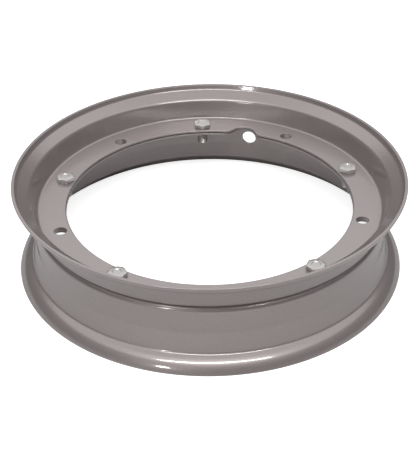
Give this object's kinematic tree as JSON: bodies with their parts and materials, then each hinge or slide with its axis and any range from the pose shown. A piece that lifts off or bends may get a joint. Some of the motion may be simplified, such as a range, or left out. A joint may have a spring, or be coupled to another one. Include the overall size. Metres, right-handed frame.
{
  "type": "wheel rim",
  "caption": "Split wheel rim of pressed steel: a shallow outer half and a deep inner half bolted flange to flange, with an open centre, wheel stud holes and a valve hole.",
  "frame": {"origin": "centre of the wheel axis in the plane that the deep half's lip edge rests on", "axes": "+Z along the wheel axis from the deep half to the shallow outer half; +Y through one clamp bolt"},
  "size_m": [0.2788, 0.2788, 0.0694],
  "materials": {
    "rim_paint": "warm silver metallic paint, semi-gloss",
    "bolt_zinc": "bright zinc plated steel, satin"
  },
  "bodies": {
    "root": {"outer_rim_half": "rim_paint", "inner_rim_half": "rim_paint", "clamp_bolts": "bolt_zinc"}
  },
  "joints": []
}
